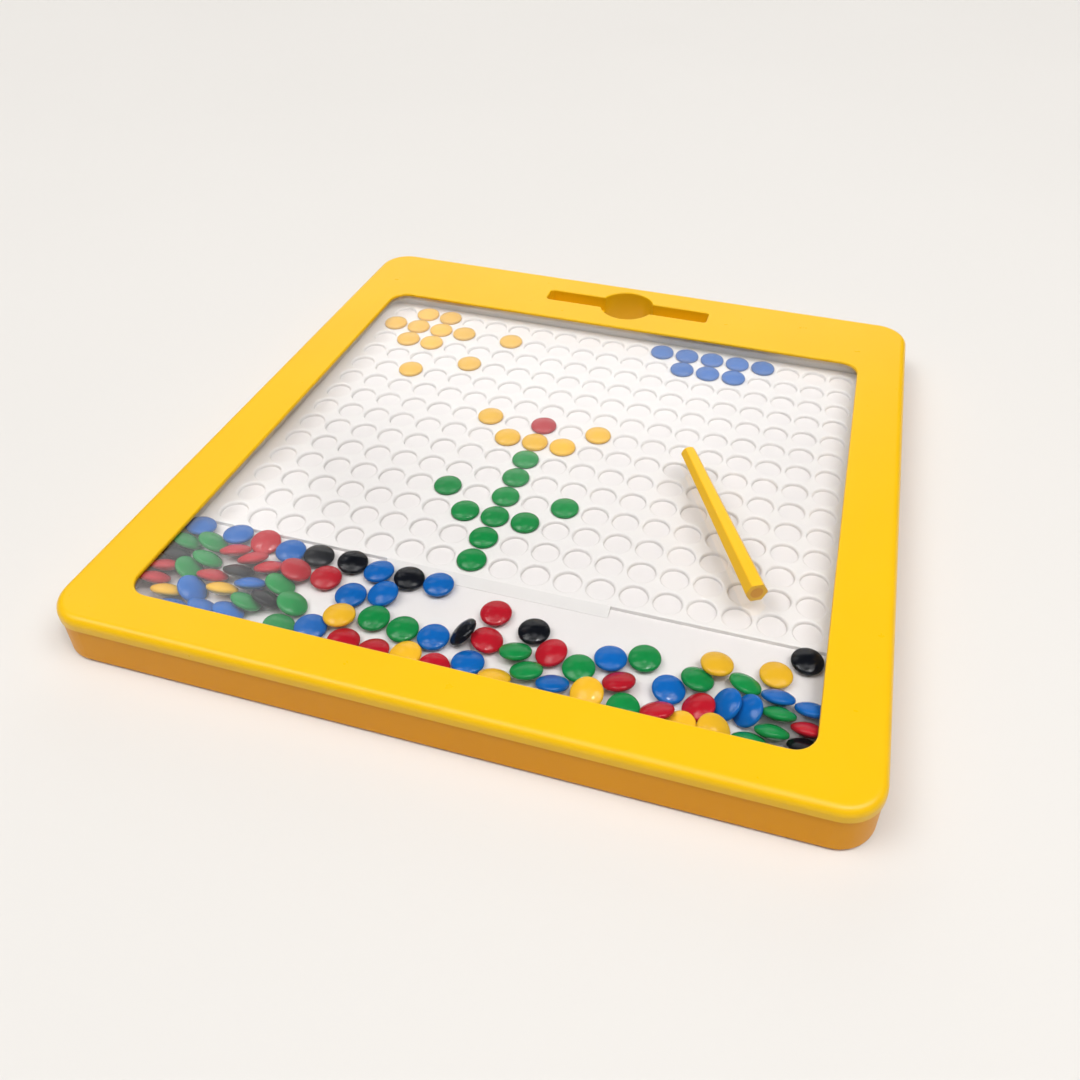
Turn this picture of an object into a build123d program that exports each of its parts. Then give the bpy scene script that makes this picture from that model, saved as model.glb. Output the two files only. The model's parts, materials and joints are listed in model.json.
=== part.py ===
from build123d import *
from math import asin, cos, floor, pi, radians, sin, sqrt
import os

import numpy as np

# Magnetic bead drawing board, in millimetres. Origin at the centre of the underside, +X to the right,
# +Y towards the stylus slot, +Z up. The stylus lies on the window, as it does in use.

# ---- case ----
board_width = 300.0
board_depth = 300.0
board_height = 22.0
corner_radius = 15.0
case_wall = 2.2
back_floor = 2.0
base_round = 1.6
rim_height = 5.5
rim_round = 3.2
rim_overhang = 0.6
tongue_wall = 1.2
tongue_rise = 2.0
tongue_clearance = 0.2
side_border = 23.4
bottom_border = 18.2
window_corner = 8.5
lip_thickness = 1.4
lip_edge_round = 0.7

# ---- window and bead chamber ----
window_thickness = 0.8
window_overlap = 6.0
tray_hidden = 5.2
tray_wall = 1.6
tray_floor = 1.6
tray_corner = 8.0
open_tray_depth = 56.0

# ---- beads and pockets ----
bead_diameter = 12.0
bead_thickness = 4.8
bead_edge = 1.1
bead_lift = 4.3
bead_gap = 0.25
rest_gap = 0.05
core_diameter = 6.0
core_thickness = 1.0
core_clearance = 0.05
pocket_inset = 0.9
pocket_chamfer = 0.45
pocket_web = 2.2
panel_thickness = 1.8
panel_edge_web = 1.2
panel_fit = 0.2
first_row_inset = 10.2
ramp_width = 92.0
ramp_length = 4.7
ramp_toe = 0.2
ramp_bead_gap = 2.0

# ---- stylus, its slot and the finger hole ----
stylus_length = 88.0
stylus_flats = 7.8
stylus_tail_flats = 6.2
stylus_edge_round = 0.9
tail_round = 4.6
magnet_diameter = 5.0
magnet_length = 8.0
plug_length = 2.5
magnet_fit = 0.05
slot_clearance = 1.0
hole_far_margin = 5.9
hole_tray_gap = 0.3
slot_round = 2.0
well_wall = 1.6
finger_hole_diameter = 29.0
stylus_rest_x = 78.3
stylus_rest_y = -31.2
stylus_turn = -62.0
stylus_rest_gap = 0.05

# ---- screws and ribs ----
screw_shank = 2.9
screw_head = 5.8
screw_head_height = 2.2
screw_length = 12.0
screw_clearance = 0.25
thread_clearance = 0.05
screw_sink = 2.0
boss_wall = 2.2
corner_boss_reach = 4.6
side_boss_gap = 2.3
top_boss_x = 78.0
rib_thickness = 1.6
rib_spacing = 60.0
rib_clearance = 0.1
drive_width = 0.9
drive_length = 3.6
drive_depth = 1.1

# ---- levels, worked out from the top down ----
top = board_height
window_top = top - lip_thickness
window_bottom = window_top - window_thickness
tray_level = window_bottom - bead_thickness - bead_lift
tray_underside = tray_level - tray_floor
parting = top - rim_height

# ---- plan sizes ----
# The far border holds the tray's hidden edge, the finger hole's tube and a margin.
top_border = (
    tray_hidden + tray_wall + hole_tray_gap + 2 * well_wall + finger_hole_diameter + hole_far_margin
)
window_width = board_width - 2 * side_border
window_low = -board_depth / 2 + bottom_border
window_high = board_depth / 2 - top_border
tray_width = window_width + 2 * tray_hidden
tray_low = window_low - tray_hidden
tray_high = window_high + tray_hidden
tray_depth = tray_high - tray_low
tray_middle = (tray_high + tray_low) / 2
panel_low = tray_low + open_tray_depth

# A bead's rounded edge overhangs the pocket, and its lower dome stands on the tray's floor.
pocket_diameter = bead_diameter - pocket_inset
pocket_pitch = pocket_diameter + pocket_web
column_room = tray_width - pocket_diameter - 2 * panel_edge_web
row_room = tray_high - first_row_inset - pocket_diameter / 2 - panel_edge_web - panel_low
pocket_columns = 1 + floor(column_room / pocket_pitch)
pocket_rows = 1 + floor(row_room / pocket_pitch)

slot_y = board_depth / 2 - hole_far_margin - well_wall - finger_hole_diameter / 2
slot_length = stylus_length + 2 * slot_clearance
slot_width = stylus_flats + 0.7 + 2 * slot_clearance
slot_depth = stylus_flats + 0.7
slot_floor = top - slot_depth

os.makedirs("parts", exist_ok=True)


def save(piece, name):
    """Label a finished piece and write its STEP file."""
    piece.label = name
    export_step(piece, f"parts/{name}.step")


# ---------------------------------------------------------------- case
boss_radius = screw_shank / 2 + boss_wall
side_screw_x = board_width / 2 - tongue_wall - case_wall - tongue_clearance - boss_radius - side_boss_gap
corner_screw_x = board_width / 2 - corner_radius + corner_boss_reach
corner_screw_y = board_depth / 2 - corner_radius + corner_boss_reach
screw_places = [
    (corner_screw_x, -corner_screw_y),
    (-corner_screw_x, -corner_screw_y),
    (side_screw_x, 0.0),
    (-side_screw_x, 0.0),
    (corner_screw_x, corner_screw_y),
    (-corner_screw_x, corner_screw_y),
    (top_boss_x, corner_screw_y),
    (-top_boss_x, corner_screw_y),
]
# The screw's head sits in a sunk hole in the back; its shank reaches up into the front frame's boss.
head_seat = screw_sink + screw_head_height
seat_thickness = 2.2
boss_foot = head_seat + seat_thickness
screw_tip = head_seat + screw_length

with BuildPart() as front_frame:
    with BuildSketch(Plane.XY.offset(parting)):
        RectangleRounded(board_width, board_depth, corner_radius)
    extrude(amount=rim_height)
    fillet(front_frame.faces().sort_by(Axis.Z)[-1].edges(), radius=rim_round)
    with BuildSketch(Plane.XY.offset(parting)):
        RectangleRounded(
            board_width - 2 * case_wall, board_depth - 2 * case_wall, corner_radius - case_wall
        )
    extrude(amount=rim_height - lip_thickness, mode=Mode.SUBTRACT)
    # bosses for the screws, hanging from the face
    with BuildSketch(Plane.XY.offset(boss_foot)):
        with Locations(*screw_places):
            Circle(boss_radius)
    extrude(amount=window_top - boss_foot)
    # the stylus well and the finger hole's tube
    with BuildSketch(Plane.XY.offset(slot_floor - well_wall)):
        with Locations((0, slot_y)):
            RectangleRounded(
                slot_length + 2 * well_wall, slot_width + 2 * well_wall, slot_round + well_wall
            )
    extrude(amount=top - slot_floor + well_wall - lip_thickness / 2)
    with BuildSketch(Plane.XY.offset(back_floor)):
        with Locations((0, slot_y)):
            Circle(finger_hole_diameter / 2 + well_wall)
    extrude(amount=top - back_floor - lip_thickness / 2)
    with BuildSketch(Plane.XY.offset(slot_floor)):
        with Locations((0, slot_y)):
            RectangleRounded(slot_length, slot_width, slot_round)
    extrude(amount=slot_depth, mode=Mode.SUBTRACT)
    with BuildSketch():
        with Locations((0, slot_y)):
            Circle(finger_hole_diameter / 2)
    extrude(amount=top, mode=Mode.SUBTRACT)
    # the window opening
    with BuildSketch(Plane.XY.offset(window_top)):
        with Locations((0, (window_low + window_high) / 2)):
            RectangleRounded(window_width, window_high - window_low, window_corner)
    extrude(amount=lip_thickness, mode=Mode.SUBTRACT)
    face_edges = front_frame.faces().sort_by(Axis.Z)[-1].inner_wires().edges()
    fillet(face_edges, radius=lip_edge_round)
    # blind holes that the screws thread into
    with BuildSketch(Plane.XY.offset(boss_foot)):
        with Locations(*screw_places):
            Circle(screw_shank / 2 + thread_clearance)
    extrude(amount=screw_tip - boss_foot + 0.5, mode=Mode.SUBTRACT)

shell_width = board_width - 2 * rim_overhang
shell_depth = board_depth - 2 * rim_overhang
shell_corner = corner_radius - rim_overhang
tongue_outer = case_wall + tongue_clearance

with BuildPart() as back_shell:
    with BuildSketch():
        RectangleRounded(shell_width, shell_depth, shell_corner)
    extrude(amount=parting)
    fillet(back_shell.faces().sort_by(Axis.Z)[0].edges(), radius=base_round)
    with BuildSketch(Plane.XY.offset(back_floor)):
        RectangleRounded(
            shell_width - 2 * case_wall, shell_depth - 2 * case_wall, shell_corner - case_wall
        )
    extrude(amount=parting - back_floor, mode=Mode.SUBTRACT)
    # a tongue that stands inside the front frame's skirt and keeps the halves in line
    with BuildSketch(Plane.XY.offset(parting - tongue_rise)):
        RectangleRounded(
            board_width - 2 * tongue_outer, board_depth - 2 * tongue_outer, corner_radius - tongue_outer
        )
        RectangleRounded(
            board_width - 2 * (tongue_outer + tongue_wall),
            board_depth - 2 * (tongue_outer + tongue_wall),
            corner_radius - tongue_outer - tongue_wall,
            mode=Mode.SUBTRACT,
        )
    extrude(amount=2 * tongue_rise)
    # ribs that carry the bead tray
    rib_columns = 1 + floor((tray_width - 2 * tray_corner) / rib_spacing)
    rib_rows = 1 + floor((tray_depth - 2 * tray_corner) / rib_spacing)
    with BuildSketch(Plane.XY.offset(back_floor)):
        with Locations((0, tray_middle)):
            with GridLocations(rib_spacing, 1, rib_columns, 1):
                Rectangle(rib_thickness, tray_depth - 2 * tray_corner)
            with GridLocations(1, rib_spacing, 1, rib_rows):
                Rectangle(tray_width - 2 * tray_corner, rib_thickness)
    extrude(amount=tray_underside - rib_clearance - back_floor)
    # screw posts, sunk from below
    with BuildSketch():
        with Locations(*screw_places):
            Circle(screw_head / 2 + screw_clearance + boss_wall / 2)
    extrude(amount=boss_foot)
    with BuildSketch():
        with Locations(*screw_places):
            Circle(screw_head / 2 + screw_clearance)
    extrude(amount=head_seat, mode=Mode.SUBTRACT)
    with BuildSketch():
        with Locations(*screw_places):
            Circle(screw_shank / 2 + screw_clearance)
        with Locations((0, slot_y)):
            Circle(finger_hole_diameter / 2)
    extrude(amount=boss_foot, mode=Mode.SUBTRACT)

with BuildPart() as case_screws:
    with BuildSketch(Plane.XY.offset(screw_sink)):
        with Locations(*screw_places):
            Circle(screw_head / 2)
    extrude(amount=screw_head_height)
    with BuildSketch(Plane.XY.offset(head_seat)):
        with Locations(*screw_places):
            Circle(screw_shank / 2)
    extrude(amount=screw_length)
    with BuildSketch(Plane.XY.offset(screw_sink)):
        with Locations(*screw_places):
            Rectangle(drive_length, drive_width)
            Rectangle(drive_width, drive_length)
    extrude(amount=drive_depth, mode=Mode.SUBTRACT)

save(front_frame.part, "front_frame")
save(back_shell.part, "back_shell")
save(case_screws.part, "case_screws")

# ---------------------------------------------------------------- bead chamber
with BuildPart() as inner_tray:
    with BuildSketch(Plane.XY.offset(tray_underside)):
        with Locations((0, tray_middle)):
            RectangleRounded(
                tray_width + 2 * tray_wall, tray_depth + 2 * tray_wall, tray_corner + tray_wall
            )
    extrude(amount=window_bottom - tray_underside)
    with BuildSketch(Plane.XY.offset(tray_level)):
        with Locations((0, tray_middle)):
            RectangleRounded(tray_width, tray_depth, tray_corner)
    extrude(amount=window_bottom - tray_level, mode=Mode.SUBTRACT)

with BuildPart() as window_sheet:
    with BuildSketch(Plane.XY.offset(window_bottom)):
        with Locations((0, (window_low + window_high) / 2)):
            RectangleRounded(
                window_width + 2 * window_overlap,
                window_high - window_low + 2 * window_overlap,
                window_corner,
            )
    extrude(amount=window_thickness)

panel_high = tray_high - panel_fit
panel_width = tray_width - 2 * panel_fit
grid_high = tray_high - first_row_inset
grid_middle = grid_high - (pocket_rows - 1) * pocket_pitch / 2


def panel_outline(plane, low_corner):
    """The panel's outline: square corners towards the tray, round ones that follow the tray's far corners."""
    with BuildSketch(plane) as outline:
        with Locations((0, (panel_low + panel_high) / 2)):
            Rectangle(panel_width, panel_high - panel_low)
        fillet(outline.vertices().group_by(Axis.Y)[-1], radius=low_corner)
    return outline.sketch


with BuildPart() as pocket_panel:
    add(panel_outline(Plane.XY.offset(tray_level), tray_corner))
    extrude(amount=panel_thickness)
    with BuildSketch(Plane.XY.offset(tray_level)):
        with Locations((0, grid_middle)):
            with GridLocations(pocket_pitch, pocket_pitch, pocket_columns, pocket_rows):
                Circle(pocket_diameter / 2)
    extrude(amount=panel_thickness, mode=Mode.SUBTRACT)
    pocket_rims = pocket_panel.faces().sort_by(Axis.Z)[-1].inner_wires().edges()
    chamfer(pocket_rims, length=pocket_chamfer)

with BuildPart() as panel_ramp:
    with BuildSketch(Plane.YZ.offset(-ramp_width / 2)):
        with BuildLine():
            Polyline(
                (panel_low, tray_level),
                (panel_low, tray_level + panel_thickness),
                (panel_low - ramp_length, tray_level + ramp_toe),
                (panel_low - ramp_length, tray_level),
                close=True,
            )
        make_face()
    extrude(amount=ramp_width)

save(inner_tray.part, "inner_tray")
save(window_sheet.part, "window_sheet")
save(pocket_panel.part, "pocket_panel")
save(panel_ramp.part, "panel_ramp")

# ---------------------------------------------------------------- stylus
# Made along its own X axis, blunt magnet end at 0, one flat down on its plane, then laid on the window.
stylus_frame = Plane(
    origin=(stylus_rest_x, stylus_rest_y, window_top + stylus_rest_gap),
    x_dir=Vector(cos(radians(stylus_turn)), sin(radians(stylus_turn)), 0),
    z_dir=(0, 0, 1),
)


def stylus_section(x, flats):
    """A hexagon across the stylus at x, with its lowest flat on the window."""
    with BuildSketch(Plane(origin=(x, 0, flats / 2), x_dir=(0, 1, 0), z_dir=(1, 0, 0))) as section:
        RegularPolygon(radius=flats / 2, side_count=6, major_radius=False)
    return section.sketch


blunt_x = stylus_length / 2
tail_x = -stylus_length / 2
blunt_face = Plane(origin=(blunt_x, 0, stylus_flats / 2), x_dir=(0, 1, 0), z_dir=(1, 0, 0))

# Everything near the tail that lies outside its round end.
with BuildPart() as tail_rounding:
    with Locations((tail_x + tail_round / 2 - 0.5, 0, stylus_tail_flats / 2)):
        Box(tail_round + 1, 3 * stylus_tail_flats, 3 * stylus_tail_flats)
    with Locations((tail_x + tail_round, 0, stylus_tail_flats / 2)):
        Sphere(tail_round, mode=Mode.SUBTRACT)

with BuildPart() as stylus_shape:
    add(stylus_section(tail_x, stylus_tail_flats))
    add(stylus_section(blunt_x, stylus_flats))
    loft()
    long_edges = stylus_shape.edges().filter_by(lambda edge: edge.length > stylus_length / 2)
    fillet(long_edges, radius=stylus_edge_round)
    with BuildSketch(blunt_face):
        Circle(magnet_diameter / 2 + magnet_fit)
    extrude(amount=-(plug_length + magnet_length + 2 * magnet_fit), mode=Mode.SUBTRACT)
    add(tail_rounding.part, mode=Mode.SUBTRACT)

magnet_face = blunt_face.offset(-(plug_length + magnet_fit))
with BuildPart() as magnet_shape:
    with BuildSketch(magnet_face):
        Circle(magnet_diameter / 2)
    extrude(amount=-magnet_length)

with BuildPart() as plug_shape:
    with BuildSketch(blunt_face):
        Circle(magnet_diameter / 2)
    extrude(amount=-plug_length)

for shape, name in (
    (stylus_shape, "stylus_body"),
    (magnet_shape, "stylus_magnet"),
    (plug_shape, "stylus_plug"),
):
    save(stylus_frame.location * shape.part, name)

# ---------------------------------------------------------------- bead shape
# A bead is a lentil with a rounded edge: two shallow domes and an edge of radius bead_edge.
disc_radius = bead_diameter / 2 - bead_edge
disc_half = bead_thickness / 2 - bead_edge
dome_radius = (disc_radius**2 + disc_half**2) / (2 * disc_half)
dome_drop = dome_radius - disc_half
dome_angle = asin(disc_radius / dome_radius)

with BuildPart() as bead:
    with BuildSketch(Plane.XZ):
        with BuildLine():
            outer_dome = dome_radius + bead_edge
            half_angle = dome_angle / 2
            pole = (0, bead_thickness / 2)
            shoulder = (outer_dome * sin(dome_angle), outer_dome * cos(dome_angle) - dome_drop)
            mid_dome = (outer_dome * sin(half_angle), outer_dome * cos(half_angle) - dome_drop)
            rim = (bead_diameter / 2, 0)
            ThreePointArc(pole, mid_dome, shoulder)
            ThreePointArc(shoulder, rim, (shoulder[0], -shoulder[1]))
            ThreePointArc((shoulder[0], -shoulder[1]), (mid_dome[0], -mid_dome[1]), (0, -pole[1]))
            Line((0, -pole[1]), pole)
        make_face()
    revolve(axis=Axis.Z)
    Cylinder(
        core_diameter / 2 + core_clearance, core_thickness + 2 * core_clearance, mode=Mode.SUBTRACT
    )

with BuildPart() as core:
    Cylinder(core_diameter / 2, core_thickness)


def write_beads(name, places):
    """Write beads at the given locations as one group, and the steel discs inside them as another."""
    with BuildPart() as shells:
        with Locations(*places):
            add(bead.part)
    with BuildPart() as discs:
        with Locations(*places):
            add(core.part)
    save(shells.part, name)
    save(discs.part, f"{name}_cores")


# ---------------------------------------------------------------- beads in the pockets
def pocket(column, row):
    """The place of a bead in a pocket: column from the left, row from the far edge, both from 0."""
    x = (column - (pocket_columns - 1) / 2) * pocket_pitch
    return Location((x, grid_high - row * pocket_pitch, tray_level + rest_gap + bead_thickness / 2))


flower_column = pocket_columns // 2 - 1
last_column = pocket_columns - 1
last_row = pocket_rows - 1


def flower(across, up):
    """A pocket counted from the lowest pocket of the flower's stem."""
    return pocket(flower_column + across, last_row - up)


sun = [(1, 0), (2, 0), (0, 1), (1, 1), (2, 1), (3, 1), (1, 2), (2, 2), (5, 1), (4, 3), (2, 4)]
cloud = [(3, 0), (4, 0), (5, 0), (6, 0), (7, 0), (4, 1), (5, 1), (6, 1)]
petals = [(-2, 7), (-1, 6), (0, 6), (1, 6), (2, 7)]
stem = [(0, 0), (0, 1), (0, 2), (0, 3), (0, 4), (0, 5)]
leaves = [(-2, 3), (-1, 2), (1, 2), (2, 3)]

write_beads("sun_beads", [pocket(column, row) for column, row in sun])
write_beads("cloud_beads", [pocket(last_column - column, row) for column, row in cloud])
write_beads("petal_beads", [flower(across, up) for across, up in petals])
write_beads("stem_beads", [flower(across, up) for across, up in stem])
write_beads("leaf_beads", [flower(across, up) for across, up in leaves])
write_beads("flower_centre_bead", [flower(0, 7)])


# ---------------------------------------------------------------- loose beads in the open tray
# Each bead: colour, distance from the nearer side wall, distance from the near wall, tilt and the
# direction that its axis leans to, both in degrees. Each lies on the floor, or leans on its neighbours.
left_beads = [
    ("blue", 8, 50, 14, 60), ("green", 7, 41, 40, 60), ("black", 8, 34, 42, 80),
    ("red", 8, 27, 42, 100), ("red", 7, 19, 42, 90), ("green", 16, 43, 36, 45),
    ("green", 15, 28, 42, 30), ("green", 21, 35, 40, 60), ("yellow", 16, 18, 42, 90),
    ("blue", 19, 12, 30, 90), ("blue", 25, 49, 8, 90), ("red", 23, 27, 40, 90),
    ("red", 27, 39, 36, 110), ("blue", 24, 21, 42, 20), ("red", 36, 48, 10, 300),
    ("red", 36, 37, 36, 120), ("black", 35, 30, 42, 90), ("yellow", 34, 22, 42, 90),
    ("blue", 33, 14, 38, 60), ("blue", 47, 48, 4, 0), ("red", 44, 38, 34, 110),
    ("blue", 43, 28, 40, 100), ("blue", 42, 14, 32, 60), ("green", 47, 18, 40, 60),
    ("black", 50, 24, 42, 60), ("red", 54, 35, 24, 30), ("green", 55, 29, 34, 40),
    ("black", 59, 48, 8, 30), ("green", 60, 22, 30, 30), ("green", 66, 13, 18, 30),
    ("red", 66, 40, 5, 0), ("blue", 74, 15, 6, 0), ("yellow", 81, 21, 5, 90),
    ("blue", 83, 33, 0, 0), ("black", 74, 48, 6, 0), ("black", 98, 49, 6, 30),
    ("blue", 86, 48, 6, 150), ("red", 90, 12, 8, 60), ("blue", 92, 39, 10, 210),
    ("green", 95, 25, 0, 0), ("red", 102, 11, 10, 120), ("green", 108, 23, 0, 0),
    ("yellow", 114, 12, 6, 200), ("blue", 121, 23, 0, 0), ("red", 126, 11, 8, 300),
]
right_beads = [
    ("black", 133, 26, 42, 180), ("blue", 127, 14, 8, 90), ("red", 125, 26, 12, 30),
    ("yellow", 117, 14, 28, 90), ("green", 114, 24, 24, 100), ("green", 107, 17, 24, 110),
    ("red", 100, 26, 14, 200), ("blue", 96, 16, 28, 100), ("green", 90, 24, 0, 0),
    ("blue", 79, 29, 6, 90), ("yellow", 83, 14, 18, 260), ("red", 73, 20, 24, 120),
    ("green", 66, 13, 10, 300), ("red", 58, 13, 30, 120), ("blue", 56, 22, 8, 0),
    ("yellow", 49, 13, 20, 220), ("red", 45, 20, 20, 180), ("green", 45, 27, 16, 60),
    ("yellow", 41, 34, 10, 80), ("yellow", 39, 13, 22, 330), ("blue", 35, 21, 40, 200),
    ("blue", 28, 21, 40, 200), ("green", 30, 12, 36, 90), ("green", 31, 30, 28, 60),
    ("yellow", 21, 39, 4, 90), ("green", 21, 14, 42, 90), ("blue", 20, 29, 36, 90),
    ("green", 20, 22, 42, 90), ("black", 10, 13, 36, 90), ("blue", 9, 28, 36, 90),
    ("red", 9, 20, 42, 90),
]
# Beads with free floor around them, each of which can roll on its own.
single_beads = {
    "black_corner_bead": ("black", "right", 11, 50),
    "black_middle_bead": ("black", "right", 109, 34),
    "red_middle_bead": ("red", "right", 126, 40),
    "blue_edge_bead": ("blue", "left", 111, 48),
    "green_side_bead": ("green", "right", 69, 34),
}
heap_travel = 2.5
start_height = bead_thickness / 2 + 0.4
settle_rounds = 600
settle_pull = 0.01
direction_count = 700


def sphere_directions(count):
    """Unit vectors spread evenly over a sphere, on a spiral."""
    step = np.arange(count) + 0.5
    height = 1 - 2 * step / count
    turn = step * pi * (1 + sqrt(5))
    level = np.sqrt(1 - height**2)
    return np.stack([level * np.cos(turn), level * np.sin(turn), height], axis=1)


def reach(normals, directions):
    """How far beads with these axes reach from their centres, along these directions."""
    lean = np.clip(np.abs(normals @ directions.T), 0, 1)
    on_dome = dome_radius - dome_drop * lean
    on_edge = disc_radius * np.sqrt(1 - lean**2)
    return np.where(lean > cos(dome_angle), on_dome, on_edge) + bead_edge


def settle(centres, normals):
    """Move beads apart until none touches another, keeping all of them inside the open tray."""
    directions = sphere_directions(direction_count)
    spans = reach(normals, directions)
    half = reach(normals, np.eye(3))
    wall_gap = bead_gap + 0.15
    low = half + (-tray_width / 2 + wall_gap, tray_low + wall_gap + heap_travel, tray_level + rest_gap)
    high = (tray_width / 2 - wall_gap, panel_low - wall_gap, window_bottom - rest_gap) - half
    first, second = np.triu_indices(len(centres), 1)
    for turn in range(settle_rounds):
        apart = centres[second] - centres[first]
        near = np.flatnonzero(np.linalg.norm(apart, axis=1) < bead_diameter + bead_gap)
        gaps = apart[near] @ directions.T - spans[first[near]] - spans[second[near]]
        best = gaps.argmax(axis=1)
        short = np.maximum(bead_gap - gaps[np.arange(len(near)), best], 0)
        push = directions[best] * short[:, None] / 2
        np.add.at(centres, first[near], -push)
        np.add.at(centres, second[near], push)
        if turn < settle_rounds / 2:
            centres[:, 2] -= settle_pull
        over_ramp = np.abs(centres[:, 0]) < ramp_width / 2 + bead_diameter / 2
        limit = high - np.outer(over_ramp, (0, ramp_bead_gap, 0))
        centres[:] = np.clip(centres, low, limit)
    return centres


def tray_place(side, inset, depth):
    """A point on the tray's floor, measured from one side wall and the near wall."""
    x = tray_width / 2 - inset
    return (-x if side == "left" else x, tray_low + depth, tray_level + start_height)


loose = [("left", *row) for row in left_beads] + [("right", *row) for row in right_beads]
loose += [(side, colour, inset, depth, 0, 0) for colour, side, inset, depth in single_beads.values()]
starts = np.array([tray_place(side, inset, depth) for side, _, inset, depth, _, _ in loose])
# No bead can tilt further than the room between the floor and the window allows.
bead_room = window_bottom - tray_level - 2 * rest_gap
steepest = asin(min(1, (bead_room / 2 - bead_edge) / disc_radius))
tilts = np.minimum(np.radians([tilt for *_, tilt, _ in loose]), steepest)
leans = np.radians([lean for *_, lean in loose])
axes = np.stack([np.sin(tilts) * np.cos(leans), np.sin(tilts) * np.sin(leans), np.cos(tilts)], axis=1)
settled = settle(starts, axes)


def bead_location(index):
    """Where one settled bead lies, with its axis along its tilt."""
    return Plane(origin=tuple(settled[index]), z_dir=tuple(axes[index])).location


heap_count = len(left_beads) + len(right_beads)
for colour in ("blue", "green", "red", "yellow", "black"):
    members = [index for index in range(heap_count) if loose[index][1] == colour]
    write_beads(f"heap_{colour}_beads", [bead_location(index) for index in members])
for offset, name in enumerate(single_beads):
    write_beads(name, [bead_location(heap_count + offset)])
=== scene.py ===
import json
import math

import bmesh
import bpy
import numpy as np
from mathutils import Matrix, Vector


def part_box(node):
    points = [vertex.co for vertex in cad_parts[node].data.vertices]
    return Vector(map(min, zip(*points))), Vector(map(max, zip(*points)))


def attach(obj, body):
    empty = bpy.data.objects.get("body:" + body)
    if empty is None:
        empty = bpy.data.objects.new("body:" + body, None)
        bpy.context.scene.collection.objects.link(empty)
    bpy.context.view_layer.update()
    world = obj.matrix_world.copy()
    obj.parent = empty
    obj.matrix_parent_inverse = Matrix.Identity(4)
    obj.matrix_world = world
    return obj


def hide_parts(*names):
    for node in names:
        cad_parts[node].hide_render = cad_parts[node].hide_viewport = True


# Magnetic bead drawing board: yellow case, clear window, white pocket panel, loose beads and a stylus.
# Everything is in metres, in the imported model's own frame.

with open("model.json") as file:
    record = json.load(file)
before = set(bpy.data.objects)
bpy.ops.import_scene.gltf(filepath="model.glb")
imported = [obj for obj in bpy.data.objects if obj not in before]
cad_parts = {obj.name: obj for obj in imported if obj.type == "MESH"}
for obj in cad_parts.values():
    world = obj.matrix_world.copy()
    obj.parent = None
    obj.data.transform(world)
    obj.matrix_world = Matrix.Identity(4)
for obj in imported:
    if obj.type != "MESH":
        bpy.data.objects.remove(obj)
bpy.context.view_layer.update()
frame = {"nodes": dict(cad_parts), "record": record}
nodes = frame["nodes"]
MM = 0.001
CORES = "_cores"


# ------------------------------------------------------------------ node material helpers
def new_material(name):
    """A node material with its Principled shader, and the tools to add nodes to it."""
    material = bpy.data.materials.new(name)
    material.use_nodes = True
    tree = material.node_tree
    return material, tree, tree.nodes["Principled BSDF"]


def object_coordinates(tree):
    """Object coordinates, which are the frame's metres, since every piece sits at the origin."""
    return tree.nodes.new("ShaderNodeTexCoord").outputs["Object"]


def noise(tree, scale, detail=2.0, roughness=0.5):
    """A 3-D noise texture over the object's own coordinates."""
    node = tree.nodes.new("ShaderNodeTexNoise")
    node.inputs["Scale"].default_value = scale
    node.inputs["Detail"].default_value = detail
    node.inputs["Roughness"].default_value = roughness
    tree.links.new(object_coordinates(tree), node.inputs["Vector"])
    return node.outputs["Fac"]


def ramp(tree, source, low, high, low_at=0.3, high_at=0.7):
    """A colour ramp from low to high, driven by source."""
    node = tree.nodes.new("ShaderNodeValToRGB")
    node.color_ramp.elements[0].position = low_at
    node.color_ramp.elements[1].position = high_at
    node.color_ramp.elements[0].color = (*low, 1)
    node.color_ramp.elements[1].color = (*high, 1)
    tree.links.new(source, node.inputs["Fac"])
    return node.outputs["Color"]


def value_range(tree, source, low, high):
    """Source, from 0 to 1, as a value from low to high."""
    node = tree.nodes.new("ShaderNodeMapRange")
    node.inputs["To Min"].default_value = low
    node.inputs["To Max"].default_value = high
    tree.links.new(source, node.inputs["Value"])
    return node.outputs["Result"]


def bump(tree, shader, height, strength, distance):
    """Bump the shader's normal by a height field."""
    node = tree.nodes.new("ShaderNodeBump")
    node.inputs["Strength"].default_value = strength
    node.inputs["Distance"].default_value = distance
    tree.links.new(height, node.inputs["Height"])
    tree.links.new(node.outputs["Normal"], shader.inputs["Normal"])


def plastic(name, colour, shade, gloss, coat=0.0, specular=0.5):
    """Moulded plastic: faint flow variation in its colour, a fine orange-peel skin and gloss."""
    material, tree, shader = new_material(name)
    flow = noise(tree, 18, 3)
    tree.links.new(ramp(tree, flow, shade, colour), shader.inputs["Base Color"])
    wear = noise(tree, 140, 4, 0.6)
    tree.links.new(value_range(tree, wear, gloss * 0.75, gloss * 1.3), shader.inputs["Roughness"])
    bump(tree, shader, noise(tree, 1400, 2), 0.25, 0.00004)
    shader.inputs["IOR"].default_value = 1.5
    shader.inputs["Specular IOR Level"].default_value = specular
    shader.inputs["Coat Weight"].default_value = coat
    shader.inputs["Coat Roughness"].default_value = 0.12
    return material


def bead_plastic(name, colour):
    """Polished plastic whose colour differs a little from bead to bead."""
    material, tree, shader = new_material(name)
    each = tree.nodes.new("ShaderNodeNewGeometry").outputs["Random Per Island"]
    shade = tuple(part * 0.86 for part in colour)
    tree.links.new(ramp(tree, each, shade, colour, 0.0, 1.0), shader.inputs["Base Color"])
    wear = noise(tree, 320, 4, 0.6)
    tree.links.new(value_range(tree, wear, 0.08, 0.15), shader.inputs["Roughness"])
    shader.inputs["Specular IOR Level"].default_value = 0.25
    bump(tree, shader, noise(tree, 700, 2), 0.08, 0.00003)
    shader.inputs["IOR"].default_value = 1.52
    return material


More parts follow.
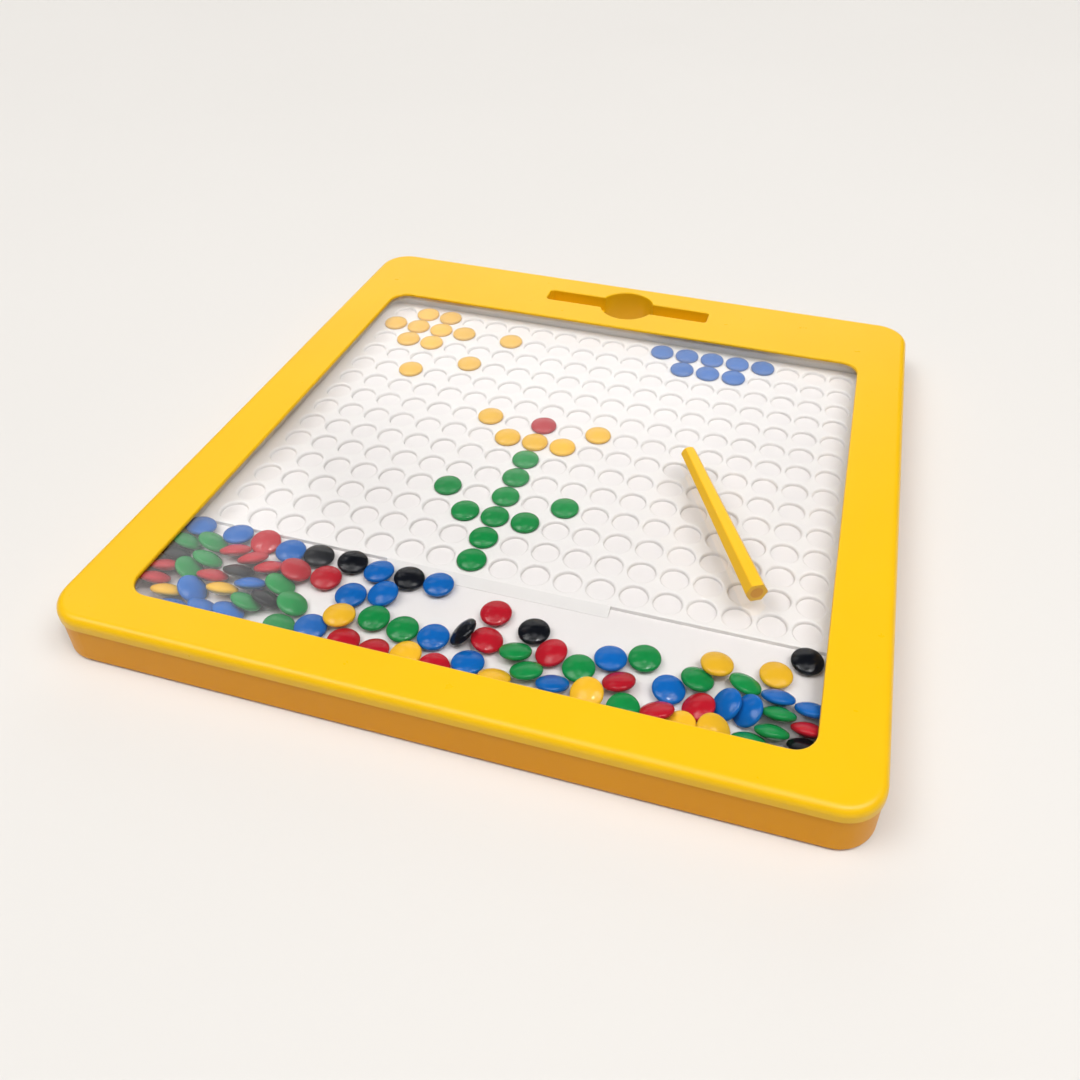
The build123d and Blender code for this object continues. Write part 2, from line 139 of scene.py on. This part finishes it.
def metal(name, colour, shade, gloss=0.3):
    """Plated steel with fine drawn streaks."""
    material, tree, shader = new_material(name)
    streak = noise(tree, 900, 4)
    tree.links.new(ramp(tree, streak, shade, colour), shader.inputs["Base Color"])
    tree.links.new(value_range(tree, streak, gloss * 0.7, gloss * 1.4), shader.inputs["Roughness"])
    shader.inputs["Metallic"].default_value = 1.0
    return material


def clear_plastic(name):
    """The clear window: mirrors and bends light like smooth plastic, and casts no shadow."""
    material, tree, shader = new_material(name)
    shader.inputs["Base Color"].default_value = (0.985, 0.99, 0.99, 1)
    shader.inputs["Transmission Weight"].default_value = 1.0
    shader.inputs["IOR"].default_value = 1.49
    haze = noise(tree, 60, 4, 0.65)
    tree.links.new(value_range(tree, haze, 0.0, 0.05), shader.inputs["Roughness"])
    clear = tree.nodes.new("ShaderNodeBsdfTransparent")
    path = tree.nodes.new("ShaderNodeLightPath")
    mix = tree.nodes.new("ShaderNodeMixShader")
    either = tree.nodes.new("ShaderNodeMath")
    either.operation = "MAXIMUM"
    tree.links.new(path.outputs["Is Shadow Ray"], either.inputs[0])
    tree.links.new(path.outputs["Is Diffuse Ray"], either.inputs[1])
    tree.links.new(either.outputs[0], mix.inputs["Fac"])
    tree.links.new(shader.outputs[0], mix.inputs[1])
    tree.links.new(clear.outputs[0], mix.inputs[2])
    tree.links.new(mix.outputs[0], tree.nodes["Material Output"].inputs["Surface"])
    return material


YELLOW = plastic("case_yellow", (0.82, 0.48, 0.006), (0.79, 0.46, 0.005), 0.3, specular=0.3)
# The back shell gets a darker, more orange copy of the case yellow: painted shade for its sides, which
# face away from the light.
SHADED_BACK_YELLOW = plastic("shaded_back_yellow", (0.74, 0.31, 0.003), (0.71, 0.29, 0.002), 0.34, specular=0.15)
STYLUS_YELLOW = plastic("stylus_yellow", (0.88, 0.50, 0.012), (0.85, 0.47, 0.010), 0.3, coat=0.1)
PLUG_YELLOW = plastic("plug_yellow", (0.78, 0.34, 0.008), (0.74, 0.31, 0.007), 0.45, coat=0.3)
TRAY_WHITE = plastic("tray_white", (0.74, 0.71, 0.705), (0.72, 0.69, 0.685), 0.42)
PANEL_WHITE = plastic("panel_white", (0.77, 0.745, 0.735), (0.75, 0.725, 0.715), 0.45)
# The ramp gets a greyer copy of the panel white: painted shade for its slope, which faces away from
# the light.
SHADED_RAMP_WHITE = plastic("shaded_ramp_white", (0.68, 0.66, 0.65), (0.66, 0.64, 0.63), 0.45)
CLEAR = clear_plastic("window_clear")
STEEL = metal("zinc_steel", (0.62, 0.62, 0.64), (0.48, 0.48, 0.50))
NICKEL = metal("nickel", (0.66, 0.64, 0.60), (0.55, 0.53, 0.50), gloss=0.2)
BEADS = {
    "blue": bead_plastic("bead_blue", (0.002, 0.120, 0.45)),
    "green": bead_plastic("bead_green", (0.006, 0.245, 0.055)),
    "red": bead_plastic("bead_red", (0.46, 0.008, 0.020)),
    "yellow": bead_plastic("bead_yellow", (0.84, 0.47, 0.022)),
    "black": bead_plastic("bead_black", (0.002, 0.003, 0.006)),
}


def dress(node, material):
    """Give a carried-over CAD node a finished material."""
    mesh = nodes[node].data
    mesh.materials.clear()
    mesh.materials.append(material)


# ------------------------------------------------------------------ beads
BEAD_EDGE = 1.1 * MM
DOME_STEPS = 7
EDGE_STEPS = 6
BEAD_TURNS = 56
WELD = 0.001 * MM
GROUP_COLOURS = {
    "sun_beads": "yellow",
    "petal_beads": "yellow",
    "cloud_beads": "blue",
    "stem_beads": "green",
    "leaf_beads": "green",
    "flower_centre_bead": "red",
}


def bead_profile():
    """Points (radius, height) from the top pole to the bottom pole of one bead."""
    low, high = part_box("flower_centre_bead")
    disc_radius = (high.x - low.x) / 2 - BEAD_EDGE
    disc_half = (high.z - low.z) / 2 - BEAD_EDGE
    dome = (disc_radius**2 + disc_half**2) / (2 * disc_half)
    dome_angle = math.asin(disc_radius / dome)
    half = []
    for step in range(DOME_STEPS):
        angle = dome_angle * step / DOME_STEPS
        radius = (dome + BEAD_EDGE) * math.sin(angle)
        half.append((radius, (dome + BEAD_EDGE) * math.cos(angle) - dome + disc_half))
    for step in range(EDGE_STEPS):
        angle = dome_angle + (math.pi / 2 - dome_angle) * step / EDGE_STEPS
        half.append((disc_radius + BEAD_EDGE * math.sin(angle), BEAD_EDGE * math.cos(angle)))
    rim = (disc_radius + BEAD_EDGE, 0.0)
    return half + [rim] + [(radius, -height) for radius, height in reversed(half)]


def add_turned(bm, profile, turns, placing):
    """Add a closed turned shape, whose profile starts and ends on the axis, to a bmesh."""
    top = bm.verts.new(placing @ Vector((0, 0, profile[0][1])))
    bottom = bm.verts.new(placing @ Vector((0, 0, profile[-1][1])))
    rings = []
    for radius, height in profile[1:-1]:
        ring = []
        for turn in range(turns):
            angle = 2 * math.pi * turn / turns
            point = Vector((radius * math.cos(angle), radius * math.sin(angle), height))
            ring.append(bm.verts.new(placing @ point))
        rings.append(ring)
    for turn in range(turns):
        after = (turn + 1) % turns
        bm.faces.new((top, rings[0][turn], rings[0][after]))
        for upper, lower in zip(rings, rings[1:]):
            bm.faces.new((upper[turn], lower[turn], lower[after], upper[after]))
        bm.faces.new((rings[-1][turn], bottom, rings[-1][after]))


def disc_places(node):
    """The centre and axis of each steel disc in a CAD node of discs."""
    bm = bmesh.new()
    bm.from_mesh(nodes[node].data)
    bmesh.ops.remove_doubles(bm, verts=bm.verts, dist=WELD)
    seen = set()
    places = []
    for first in bm.verts:
        if first in seen:
            continue
        seen.add(first)
        island = [first]
        for vertex in island:
            for edge in vertex.link_edges:
                other = edge.other_vert(vertex)
                if other not in seen:
                    seen.add(other)
                    island.append(other)
        points = np.array([vertex.co for vertex in island])
        centre = points.mean(axis=0)
        axis = np.linalg.svd(points - centre)[2][2]
        if axis[2] < 0:
            axis = -axis
        places.append((Vector(centre), Vector(axis)))
    bm.free()
    return sorted(places, key=lambda place: [round(part / WELD) for part in place[0]])


def finish_mesh(name, bm, material, smooth_angle=40):
    """Turn a bmesh into a shaded object in the scene."""
    bmesh.ops.recalc_face_normals(bm, faces=bm.faces)
    mesh = bpy.data.meshes.new(name)
    bm.to_mesh(mesh)
    bm.free()
    mesh.materials.append(material)
    piece = bpy.data.objects.new(name, mesh)
    bpy.context.scene.collection.objects.link(piece)
    mesh.polygons.foreach_set("use_smooth", [True] * len(mesh.polygons))
    mesh.set_sharp_from_angle(angle=math.radians(smooth_angle))
    return piece


def bead_body(node):
    """The body that a CAD node rides on."""
    for body, members in frame["record"]["behaviour"]["bodies"].items():
        if node in members:
            return body
    return None


def stand_in(piece, node):
    """Let a finished piece take a CAD node's place, on its body."""
    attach(piece, bead_body(node))
    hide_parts(node)


def colour_of(node):
    """The colour name of a bead node."""
    if node in GROUP_COLOURS:
        return GROUP_COLOURS[node]
    return next(colour for colour in BEADS if colour in node)


profile = bead_profile()
for node in sorted(nodes):
    if not node.endswith(CORES):
        continue
    dress(node, STEEL)
    beads_node = node[: -len(CORES)]
    bm = bmesh.new()
    for centre, axis in disc_places(node):
        placing = Matrix.Translation(centre) @ axis.to_track_quat("Z", "Y").to_matrix().to_4x4()
        add_turned(bm, profile, BEAD_TURNS, placing)
    piece = finish_mesh(f"{beads_node}_smooth", bm, BEADS[colour_of(beads_node)], 60)
    stand_in(piece, beads_node)


# ------------------------------------------------------------------ pocket panel
POCKET_PITCH = 13.3 * MM
POCKET_RADIUS = 5.55 * MM
POCKET_COLUMNS = 19
POCKET_ROWS = 14
FIRST_ROW = 10.0 * MM
POCKET_ROUND = 0.9 * MM
ROUND_REACH = 1.08  # where the pocket's flat surround starts, in roundings out from its wall
ROUND_STEPS = 5
POCKET_SIDES = 40
PANEL_CORNER = 8.0 * MM
PANEL_EDGE_ROUND = 0.3 * MM
CORNER_STEPS = 10


def add_ring_faces(bm, upper, lower):
    """Join two closed rings of equal length with quads."""
    for index in range(len(upper)):
        after = (index + 1) % len(upper)
        bm.faces.new((upper[index], lower[index], lower[after], upper[after]))


def square_ring(bm, x, y, z):
    """A ring on the border of one square cell, with a point at each of the pocket's angles."""
    ring = []
    for step in range(POCKET_SIDES):
        angle = 2 * math.pi * step / POCKET_SIDES
        across, along = math.cos(angle), math.sin(angle)
        reach = POCKET_PITCH / 2 / max(abs(across), abs(along))
        ring.append(bm.verts.new((x + reach * across, y + reach * along, z)))
    return ring


def round_ring(bm, x, y, z, radius):
    """A circle of points about one pocket's axis."""
    ring = []
    for step in range(POCKET_SIDES):
        angle = 2 * math.pi * step / POCKET_SIDES
        ring.append(bm.verts.new((x + radius * math.cos(angle), y + radius * math.sin(angle), z)))
    return ring


def add_pocket_cell(bm, x, y, low, high):
    """One square cell of the panel: its top, the pocket's rounded rim and wall, and its underside."""
    surround = POCKET_RADIUS + POCKET_ROUND * ROUND_REACH
    rings = [square_ring(bm, x, y, high), round_ring(bm, x, y, high, surround)]
    for step in range(ROUND_STEPS + 1):
        angle = math.pi / 2 * step / ROUND_STEPS
        radius = POCKET_RADIUS + POCKET_ROUND * (1 - math.sin(angle))
        rings.append(round_ring(bm, x, y, high - POCKET_ROUND * (1 - math.cos(angle)), radius))
    rings.append(round_ring(bm, x, y, low, POCKET_RADIUS))
    rings.append(square_ring(bm, x, y, low))
    for upper, lower in zip(rings, rings[1:]):
        add_ring_faces(bm, upper, lower)


def panel_outline(bm, low, high, inset, z):
    """The panel's outline: nearly square near corners, round far ones, all moved in by inset."""
    points = []
    for corner_x, corner_y, radius, start in (
        (high.x, high.y, PANEL_CORNER, 0),
        (low.x, high.y, PANEL_CORNER, 90),
        (low.x, low.y, PANEL_EDGE_ROUND * 2, 180),
        (high.x, low.y, PANEL_EDGE_ROUND * 2, 270),
    ):
        centre_x = corner_x - math.copysign(radius, corner_x)
        centre_y = corner_y - math.copysign(radius, corner_y)
        for step in range(CORNER_STEPS + 1):
            angle = math.radians(start + 90 * step / CORNER_STEPS)
            x = centre_x + (radius - inset) * math.cos(angle)
            points.append(bm.verts.new((x, centre_y + (radius - inset) * math.sin(angle), z)))
    return points


def fill_flat(bm, outline, z):
    """Fill the flat strip between the outline and the grid of cells at height z."""
    cells = [edge for edge in bm.edges if edge.is_boundary and edge.link_faces]
    level = [edge for edge in cells if all(abs(vertex.co.z - z) < 1e-7 for vertex in edge.verts)]
    inner = [edge for edge in level if not set(edge.verts) & set(outline)]
    outer = [bm.edges.get((outline[i - 1], outline[i])) for i in range(len(outline))]
    bmesh.ops.triangle_fill(bm, use_beauty=True, use_dissolve=False, edges=inner + outer)


def make_pocket_panel():
    """The white panel: rows of shallow round pockets with soft rims, in one closed mesh."""
    low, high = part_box("pocket_panel")
    bm = bmesh.new()
    middle_x = (low.x + high.x) / 2
    for column in range(POCKET_COLUMNS):
        x = middle_x + (column - (POCKET_COLUMNS - 1) / 2) * POCKET_PITCH
        for row in range(POCKET_ROWS):
            add_pocket_cell(bm, x, high.y - FIRST_ROW - row * POCKET_PITCH, low.z, high.z)
    bmesh.ops.remove_doubles(bm, verts=bm.verts, dist=WELD)
    rings = []
    for step in range(ROUND_STEPS + 1):
        angle = math.pi / 2 * step / ROUND_STEPS
        inset = PANEL_EDGE_ROUND * (1 - math.sin(angle))
        drop = PANEL_EDGE_ROUND * (1 - math.cos(angle))
        rings.append(panel_outline(bm, low, high, inset, high.z - drop))
    rings.append(panel_outline(bm, low, high, 0, low.z))
    for upper, lower in zip(rings, rings[1:]):
        add_ring_faces(bm, upper, lower)
    fill_flat(bm, rings[0], high.z)
    fill_flat(bm, rings[-1], low.z)
    piece = finish_mesh("pocket_panel_smooth", bm, PANEL_WHITE, 50)
    stand_in(piece, "pocket_panel")


make_pocket_panel()
dress("front_frame", YELLOW)
dress("back_shell", SHADED_BACK_YELLOW)
dress("case_screws", STEEL)
dress("inner_tray", TRAY_WHITE)
dress("panel_ramp", SHADED_RAMP_WHITE)
dress("window_sheet", CLEAR)
dress("stylus_body", STYLUS_YELLOW)
dress("stylus_plug", PLUG_YELLOW)
dress("stylus_magnet", NICKEL)


# ------------------------------------------------------------------ stage, light and camera
FLOOR_REACH = 6.0
FLOOR_GAP = 0.2 * MM
AMBIENT = 0.04
BACKDROP = 0.88
# Each glow: (azimuth, elevation), radius of its full part, radius of its faded edge, strength.
SKY_GLOWS = (
    ((0, 88), 4, 15, 2.4),
    ((95, 60), 5, 22, 6.0),
    ((-116, 60), 5, 22, 6.0),
    ((178, 62), 5, 22, 3.0),
    ((-15, 13), 20, 31, 1.25),
    ((-50, 40), 5, 13, 1.2),
)


def make_floor():
    """A wide pale floor just under the board."""
    bm = bmesh.new()
    bmesh.ops.create_grid(bm, x_segments=4, y_segments=4, size=FLOOR_REACH)
    material, tree, shader = new_material("floor_pale")
    colour = ramp(tree, noise(tree, 3, 2), (0.68, 0.665, 0.645), (0.69, 0.675, 0.655))
    tree.links.new(colour, shader.inputs["Base Color"])
    shader.inputs["Roughness"].default_value = 0.9
    shader.inputs["Specular IOR Level"].default_value = 0.1
    floor = finish_mesh("floor", bm, material)
    floor.location.z = -FLOOR_GAP


def soft_light(name, place, aim, width, power):
    """A square soft light that faces aim."""
    data = bpy.data.lights.new(name, "AREA")
    data.size = width
    data.energy = power
    lamp = bpy.data.objects.new(name, data)
    lamp.location = place
    lamp.rotation_euler = (Vector(aim) - Vector(place)).to_track_quat("-Z", "Y").to_euler()
    lamp.visible_camera = False
    bpy.context.scene.collection.objects.link(lamp)


def facing(azimuth, elevation):
    """The unit vector towards a point of the sky, azimuth clockwise from +Y, both in degrees."""
    turn, rise = math.radians(azimuth), math.radians(elevation)
    return Vector((math.sin(turn) * math.cos(rise), math.cos(turn) * math.cos(rise), math.sin(rise)))


def add_glow(tree, direction, towards, inner, outer, strength, before):
    """Add a soft-edged round glow to the sky: full within inner degrees, gone at outer."""
    dot = tree.nodes.new("ShaderNodeVectorMath")
    dot.operation = "DOT_PRODUCT"
    dot.inputs[1].default_value = towards
    tree.links.new(direction, dot.inputs[0])
    soft = tree.nodes.new("ShaderNodeMapRange")
    soft.interpolation_type = "SMOOTHSTEP"
    soft.inputs["From Min"].default_value = math.cos(math.radians(outer))
    soft.inputs["From Max"].default_value = math.cos(math.radians(inner))
    soft.inputs["To Max"].default_value = strength
    tree.links.new(dot.outputs["Value"], soft.inputs["Value"])
    total = tree.nodes.new("ShaderNodeMath")
    total.operation = "ADD"
    tree.links.new(before, total.inputs[0])
    tree.links.new(soft.outputs["Result"], total.inputs[1])
    return total.outputs[0]


def make_world():
    """A soft studio sky: dim, with round glows that light the board, and an even pale backdrop."""
    world = bpy.data.worlds.new("studio")
    bpy.context.scene.world = world
    world.use_nodes = True
    tree = world.node_tree
    direction = tree.nodes.new("ShaderNodeTexCoord").outputs["Generated"]
    base = tree.nodes.new("ShaderNodeValue")
    base.outputs[0].default_value = AMBIENT
    level = base.outputs[0]
    for towards, inner, outer, strength in SKY_GLOWS:
        level = add_glow(tree, direction, facing(*towards), inner, outer, strength, level)
    backdrop = tree.nodes.new("ShaderNodeMix")
    path = tree.nodes.new("ShaderNodeLightPath")
    tree.links.new(path.outputs["Is Camera Ray"], backdrop.inputs["Factor"])
    tree.links.new(level, backdrop.inputs["A"])
    backdrop.inputs["B"].default_value = BACKDROP
    background = tree.nodes["Background"]
    background.inputs["Color"].default_value = (1.0, 0.985, 0.965, 1)
    tree.links.new(backdrop.outputs["Result"], background.inputs["Strength"])


def make_camera():
    """The camera above the board's near side, a little to the right, looking down across it."""
    data = bpy.data.cameras.new("camera")
    data.sensor_width = 36.0
    data.lens = 32.91
    data.shift_x = -0.0568
    data.shift_y = -0.1296
    camera = bpy.data.objects.new("camera", data)
    camera.location = (0.1058, -0.3357, 0.2927)
    camera.rotation_euler = (math.radians(54.84), math.radians(-1.15), math.radians(15.21))
    bpy.context.scene.collection.objects.link(camera)
    bpy.context.scene.camera = camera


make_floor()
make_world()
soft_light("top_lamp", (0.5, -0.5, 1.5), (0, 0, 0.01), 0.2, 4.5)
make_camera()
bpy.context.scene.view_settings.view_transform = "Standard"
